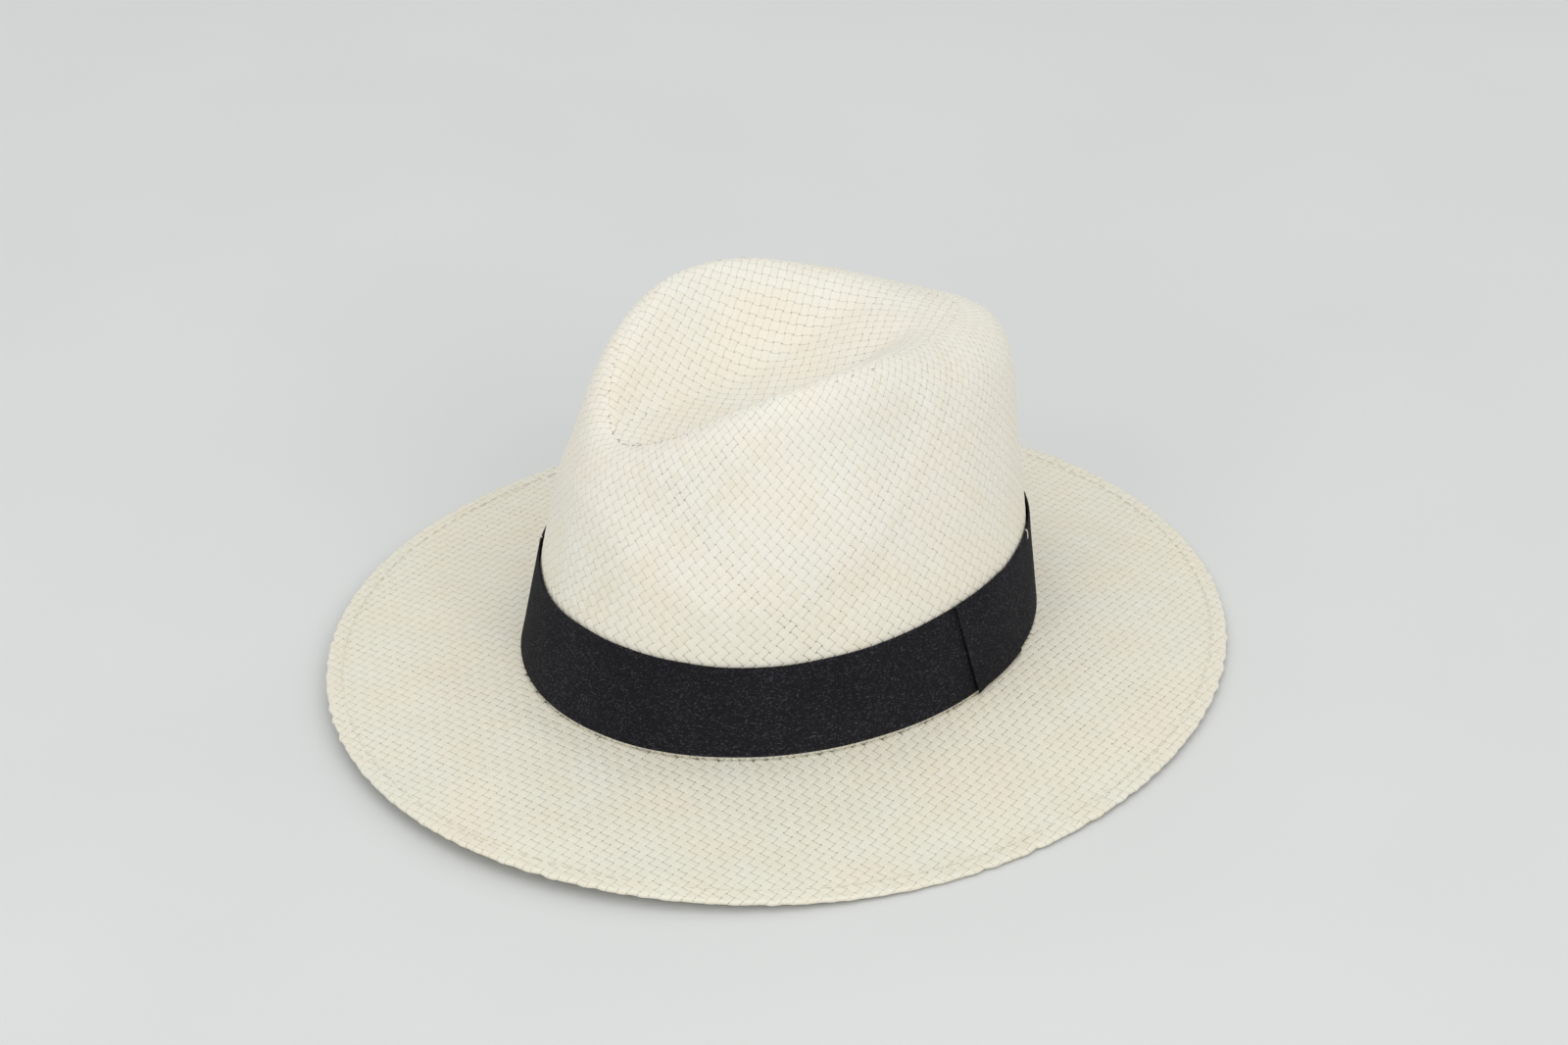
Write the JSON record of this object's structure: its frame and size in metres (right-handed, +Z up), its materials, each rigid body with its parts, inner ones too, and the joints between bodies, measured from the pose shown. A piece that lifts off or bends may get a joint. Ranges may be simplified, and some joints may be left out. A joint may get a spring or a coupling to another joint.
{
  "type": "straw hat",
  "caption": "Wide-brimmed woven straw hat with a pinched teardrop crown, a dark ribbon band with a flat keeper, and a sweatband inside.",
  "frame": {"origin": "bottom centre of the bounding box, on the table under the middle of the head opening", "axes": "+Z up; -Y is the front of the hat (the brim over the eyes); +X is the wearer's left, where the ribbon's keeper is"},
  "size_m": [0.3204, 0.356, 0.1453],
  "materials": {
    "straw": "satin woven flat straw, off-white",
    "wire": "bright drawn wire",
    "thread": "matt thread",
    "ribbon": "ribbed grosgrain, near black",
    "sweatband": "soft woven band",
    "tape": "woven tape"
  },
  "bodies": {
    "root": {"crown": "straw", "brim": "straw", "brim_hem": "straw", "brim_wire": "wire", "hem_stitches": "thread", "hat_band": "ribbon", "band_keeper": "ribbon", "band_tacks": "thread", "sweatband": "sweatband", "sweatband_stitches": "thread", "sweatband_tape": "tape"}
  },
  "joints": []
}
